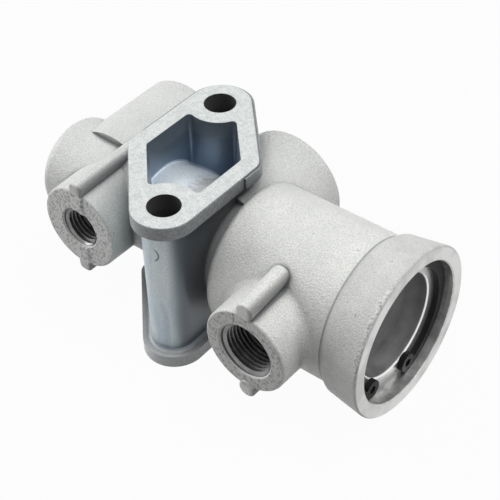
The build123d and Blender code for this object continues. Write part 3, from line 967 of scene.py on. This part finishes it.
@dataclass(frozen=True)
class RubberFinish:
    """Greased nitrile rubber."""

    colour: Colour = (0.018, 0.018, 0.019)
    grease: Colour = (0.035, 0.033, 0.03)
    roughness: float = 0.42
    film: Grain = Grain(2 * MM, 2.0)
    unevenness: Ramp = Ramp(0.35, 0.65, 0.7, 1.4)
    grain: Grain = Grain(0.15 * MM, 2.0, 0.6)
    depth: float = 0.01 * MM

    def material(self, name: str) -> bpy.types.Material:
        """Makes the material.

        Args:
            name: Name of the material.

        Returns:
            The material.
        """
        shade = Shader(name)
        film = shade.noise(self.film)
        colour = shade.mix(film, self.colour, self.grease)
        roughness = shade.both(shade.span(film, self.unevenness), self.roughness)
        return shade.finish(colour, 0.0, roughness, shade.bump(shade.noise(self.grain), self.depth))


def link(mesh: bpy.types.Mesh, finish: bpy.types.Material) -> bpy.types.Object:
    """Adds a mesh as a piece of the body, under the mesh's name.

    Args:
        mesh: The mesh, in the row frame.
        finish: Its material.

    Returns:
        The new object.
    """
    piece = bpy.data.objects.new(mesh.name, mesh)
    bpy.context.scene.collection.objects.link(piece)
    mesh.materials.append(finish)
    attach(piece, BODY)
    LOG.info("built %s", piece.name)
    return piece


def skin(name: str, rows: list[list[Vector]], place: Matrix) -> bpy.types.Mesh:
    """Joins closed rows of points into one skin with capped ends.

    Args:
        name: Name of the mesh.
        rows: The rows in order, with the same number of points each.
        place: Transform of the points to the row frame.

    Returns:
        The mesh.
    """
    mesh = bmesh.new()
    rings = [[mesh.verts.new(point) for point in row] for row in rows]
    for first, second in zip(rings, rings[1:]):
        for corner in range(len(first)):
            following = (corner + 1) % len(first)
            mesh.faces.new((first[corner], first[following], second[following], second[corner]))
    mesh.faces.new(reversed(rings[0]))
    mesh.faces.new(rings[-1])
    bmesh.ops.recalc_face_normals(mesh, faces=mesh.faces)
    mesh.transform(place)
    data = bpy.data.meshes.new(name)
    mesh.to_mesh(data)
    mesh.free()
    return data


def dress(node: str, finish: bpy.types.Material) -> None:
    """Gives a CAD node its material.

    Args:
        node: Name of the node.
        finish: The material.
    """
    for slot in frame["nodes"][node].material_slots:
        slot.link = "OBJECT"
        slot.material = finish
    LOG.info("dressed %s", node)


@dataclass
class PortThread:
    """The cut turns of a tapped port: one helical ridge that stands in from the drilled wall."""

    port: Port
    crest: float = 0.18 * MM
    root: float = 0.12 * MM
    bite: float = 0.03 * MM
    lead: float = 0.6 * MM
    run_out: float = 0.35
    least_height: float = 0.02
    steps: int = 56

    def build(self, finish: bpy.types.Material) -> None:
        """Makes the ridge and seats it in its port.

        Args:
            finish: Material of the cut thread.
        """
        size = self.port.thread
        wall = self.port.radius + self.bite
        turns = (self.port.length + self.lead - size.pitch) / size.pitch
        half = (size.pitch - self.root) / 2
        rows = []
        for index in range(int(turns * self.steps) + 1):
            turn = index / self.steps
            angle = turn * FULL_TURN
            along = size.pitch / 2 + turn * size.pitch
            growth = min(1.0, turn / self.run_out, (turns - turn) / self.run_out)
            top = wall - size.depth * max(self.least_height, growth)
            profile = ((wall, -half), (top, -self.crest / 2), (top, self.crest / 2), (wall, half))
            rows.append([Vector((radius * math.cos(angle), radius * math.sin(angle), along + shift))
                         for radius, shift in profile])
        data = skin(self.port.mount["name"] + "_thread", rows, self.seat())
        link(data, finish)

    def seat(self) -> Matrix:
        """Transform from the ridge's own frame to the port, starting at the inner end.

        Returns:
            The transform.
        """
        axis = Vector(self.port.mount["axis"])
        start = Vector(self.port.mount["pos_m"]) - axis * (self.port.length / 2)
        return Matrix.Translation(start) @ axis.to_track_quat("Z", "Y").to_matrix().to_4x4()


@dataclass
class Casting:
    """The die-cast body with the turns of its four tapped ports."""

    thread_finish: MetalFinish = MetalFinish((0.20, 0.20, 0.20), (0.30, 0.30, 0.30), 0.6, 0.30)

    def build(self) -> None:
        """Dresses the CAD body and makes the pieces that it doesn't hold."""
        dress("body", CastingShader("cast_aluminium").complete())
        cut = self.thread_finish.material("cut_thread")
        for port in Port:
            PortThread(port).build(cut)


@dataclass
class MouthFittings:
    """What closes the bore: the end cap, its seal and the retaining ring."""

    cap: CapFinish = CapFinish()
    ring: MetalFinish = MetalFinish((0.008, 0.008, 0.009), (0.014, 0.014, 0.015), 0.0, 0.5, gloss=0.18)
    seal: RubberFinish = RubberFinish()

    def build(self) -> None:
        """Dresses the three nodes."""
        dress("end_cap", self.cap.material("cap_aluminium"))
        dress("retaining_ring", self.ring.material("phosphated_steel"))
        dress("cap_seal", self.seal.material("cap_rubber"))


@dataclass
class ReturnSpring:
    """The coil between its seat and the piston."""

    node: str = "return_spring"
    joint: str = "plunger_slide"
    wire: float = 1.2 * MM
    turns: int = 5
    steps: int = 60
    sides: int = 16

    def build(self, finish: bpy.types.Material) -> None:
        """Winds the coil where the CAD node stands.

        Args:
            finish: Material of the wire.
        """
        low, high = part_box(self.node)
        middle = (low + high) / 2
        coil = (high.y - low.y) / 2 - self.wire
        length = high.x - low.x - 2 * self.wire
        way_round = coil * self.turns * FULL_TURN
        count = self.turns * self.steps
        rows = []
        for index in range(count + 1):
            angle = index / self.steps * FULL_TURN
            outward = Vector((0, math.cos(angle), math.sin(angle)))
            forward = Vector((length, -math.sin(angle) * way_round, math.cos(angle) * way_round)).normalized()
            side = forward.cross(outward)
            centre = Vector((low.x + self.wire + length * index / count, middle.y, middle.z)) + outward * coil
            corners = (corner / self.sides * FULL_TURN for corner in range(self.sides))
            rows.append([centre + (outward * math.cos(turn) + side * math.sin(turn)) * self.wire
                         for turn in corners])
        data = skin("return_spring_coil", rows, Matrix())
        data.shade_smooth()
        piece = link(data, finish)
        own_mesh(piece)
        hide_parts(self.node)


@dataclass
class PlungerGroup:
    """The moving stem and piston with their seals, the spring and its seat, and the vent's filter."""

    stem: MetalFinish = MetalFinish((0.62, 0.61, 0.58), (0.55, 0.54, 0.52), 0.8, 0.35)
    piston: MetalFinish = MetalFinish((0.52, 0.53, 0.54), (0.60, 0.61, 0.62), 0.6, 0.42)
    plated: MetalFinish = MetalFinish((0.58, 0.57, 0.50), (0.66, 0.65, 0.60), 0.95, 0.3)
    wire: MetalFinish = MetalFinish((0.35, 0.35, 0.36), (0.26, 0.26, 0.27), 0.95, 0.28)
    guide: MetalFinish = MetalFinish((0.78, 0.76, 0.68), (0.72, 0.70, 0.62), 0.0, 0.5)
    bronze: MetalFinish = MetalFinish((0.42, 0.28, 0.13), (0.30, 0.20, 0.10), 0.8, 0.55,
                                      Grain(0.3 * MM, 3.0, 0.6), 0.08 * MM)
    seal: RubberFinish = RubberFinish()

    def build(self) -> None:
        """Winds the spring and dresses the nodes inside the body."""
        dress("stem", self.stem.material("stem_aluminium"))
        dress("piston", self.piston.material("piston_aluminium"))
        plated = self.plated.material("plated_steel")
        for node in ("washer", "stem_nut", "spring_seat"):
            dress(node, plated)
        ReturnSpring().build(self.wire.material("spring_steel"))
        dress("guide_ring", self.guide.material("guide_plastic"))
        dress("vent_filter", self.bronze.material("sintered_bronze"))
        rubber = self.seal.material("seal_rubber")
        for node in ("supply_seal", "valve_seal", "vent_seal", "piston_seal"):
            dress(node, rubber)


@dataclass(frozen=True)
class Lamp:
    """A square soft lamp: its place, the length of its side in metres and its power in watts."""

    name: str
    place: Place
    size: float
    power: float

    def build(self, target: Vector) -> None:
        """Hangs the lamp.

        Args:
            target: What it looks at.
        """
        data = bpy.data.lights.new(self.name, "AREA")
        data.size = self.size
        data.energy = self.power
        lamp = bpy.data.objects.new(self.name, data)
        lamp.location = self.place
        lamp.rotation_mode = "QUATERNION"
        lamp.rotation_quaternion = (target - Vector(self.place)).to_track_quat("-Z", "Y")
        bpy.context.scene.collection.objects.link(lamp)


@dataclass
class Studio:
    """The floor, the soft lamps, the pale world and the camera at the photograph's place."""

    azimuth: float = math.radians(39.98)
    elevation: float = math.radians(42.01)
    roll: float = math.radians(-1.98)
    distance: float = 396.8 * MM
    target: Place = (20 * MM, 0.2 * MM, 27.5 * MM)
    lens: float = 96.43
    sensor: float = 36.0
    clip_start: float = 10 * MM
    floor_size: float = 6.0
    floor_colour: Colour = (0.45, 0.45, 0.45)
    floor_roughness: float = 0.9
    floor_glow: float = 0.96
    fill: float = 0.02
    lamps: tuple[Lamp, ...] = (Lamp("top", (-0.05, 0.0, 0.75), 1.0, 3.6),
                               Lamp("right", (0.30, 0.22, 0.65), 0.6, 2.8),
                               Lamp("left", (-0.75, -0.25, 0.30), 0.6, 4.3))

    def build(self) -> None:
        """Makes the stage, the light and the camera."""
        self.floor()
        self.world()
        for lamp in self.lamps:
            lamp.build(Vector(self.target))
        self.camera()

    def floor(self) -> None:
        """Lays a pale floor that keeps the shadow and reads as white to the camera."""
        half = self.floor_size / 2
        mesh = bpy.data.meshes.new("floor")
        corners = [(-half, -half, 0), (half, -half, 0), (half, half, 0), (-half, half, 0)]
        mesh.from_pydata(corners, [], [(0, 1, 2, 3)])
        floor = bpy.data.objects.new("floor", mesh)
        bpy.context.scene.collection.objects.link(floor)
        shade = Shader("floor")
        nodes, inputs = shade.tree.nodes, shade.surface.inputs
        shade.feed(inputs["Base Color"], self.floor_colour)
        shade.feed(inputs["Roughness"], self.floor_roughness)
        shade.feed(inputs["Specular IOR Level"], 0.0)
        glow = nodes.new("ShaderNodeEmission")
        mixer = nodes.new("ShaderNodeMixShader")
        share = shade.both(self.seen(shade.tree), self.floor_glow)
        for socket, value in zip(mixer.inputs, (share, shade.surface.outputs[0], glow.outputs[0])):
            shade.feed(socket, value)
        shade.feed(nodes["Material Output"].inputs[0], mixer.outputs[0])
        mesh.materials.append(shade.material)

    def seen(self, tree: bpy.types.NodeTree) -> Socket:
        """Gives 1 for rays from the camera and for those seen in gloss or glass.

        Args:
            tree: The node tree to add to.

        Returns:
            The mask.
        """
        path = tree.nodes.new("ShaderNodeLightPath")
        result = path.outputs["Is Camera Ray"]
        for name in ("Is Glossy Ray", "Is Transmission Ray"):
            node = tree.nodes.new("ShaderNodeMath")
            node.operation = "MAXIMUM"
            tree.links.new(result, node.inputs[0])
            tree.links.new(path.outputs[name], node.inputs[1])
            result = node.outputs[0]
        return result

    def world(self) -> None:
        """Sets a backdrop that is white to the camera and lights the object only faintly."""
        world = bpy.data.worlds.new("studio")
        bpy.context.scene.world = world
        world.use_nodes = True
        tree = world.node_tree
        backdrop = tree.nodes["Background"]
        backdrop.inputs["Color"].default_value = (1, 1, 1, 1)
        node = tree.nodes.new("ShaderNodeMapRange")
        node.inputs["To Min"].default_value = self.fill
        node.inputs["To Max"].default_value = 1.0
        tree.links.new(self.seen(tree), node.inputs["Value"])
        tree.links.new(node.outputs[0], backdrop.inputs["Strength"])

    def camera(self) -> None:
        """Stands the camera where the photograph was taken."""
        data = bpy.data.cameras.new("camera")
        data.sensor_width = self.sensor
        data.lens = self.lens
        data.clip_start = self.clip_start
        camera = bpy.data.objects.new("camera", data)
        back = Vector((math.sin(self.azimuth) * math.cos(self.elevation),
                       -math.cos(self.azimuth) * math.cos(self.elevation), math.sin(self.elevation)))
        camera.location = Vector(self.target) + back * self.distance
        camera.rotation_mode = "QUATERNION"
        camera.rotation_quaternion = Quaternion(back, self.roll) @ (-back).to_track_quat("-Z", "Y")
        bpy.context.scene.collection.objects.link(camera)
        bpy.context.scene.camera = camera
        bpy.context.scene.view_settings.view_transform = "Standard"


def main() -> None:
    """Builds and dresses the valve, then sets the studio."""
    logging.basicConfig(level=logging.INFO, format="%(message)s")
    for group in (Casting(), MouthFittings(), PlungerGroup(), Studio()):
        group.build()
        LOG.info("finished %s", type(group).__name__)


if __name__ == "__main__":
    main()
